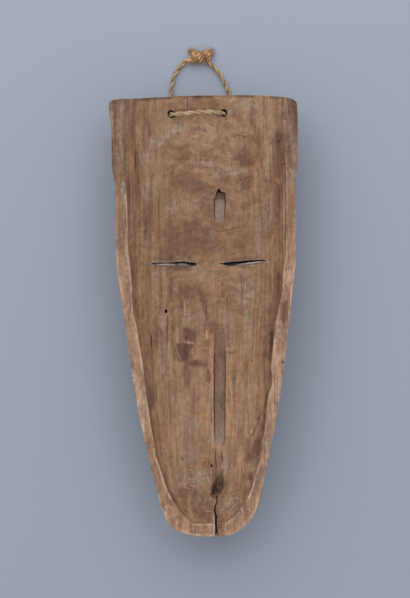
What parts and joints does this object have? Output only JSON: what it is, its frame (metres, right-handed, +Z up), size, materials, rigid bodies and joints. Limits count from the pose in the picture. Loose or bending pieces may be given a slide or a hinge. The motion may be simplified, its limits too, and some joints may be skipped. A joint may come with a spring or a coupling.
{
  "type": "biombo mask",
  "caption": "Long tapering carved wooden face mask, hollow behind, with sight slits and a knotted plant-fibre cord through two holes.",
  "frame": {"origin": "on the surface the mask lies on, under the middle of the wood's own box", "axes": "+Z up out of the hollow, +Y towards the forehead end, +X to the right seen from above, with the face down"},
  "size_m": [0.1885, 0.4972, 0.072],
  "materials": {
    "carved_wood": "dry knife-cut wood, worn and dusty",
    "plant_fibre": "two-ply twisted plant fibre, frayed at the knot"
  },
  "bodies": {
    "root": {"mask": "carved_wood", "cord": "plant_fibre", "knot": "plant_fibre"}
  },
  "joints": []
}
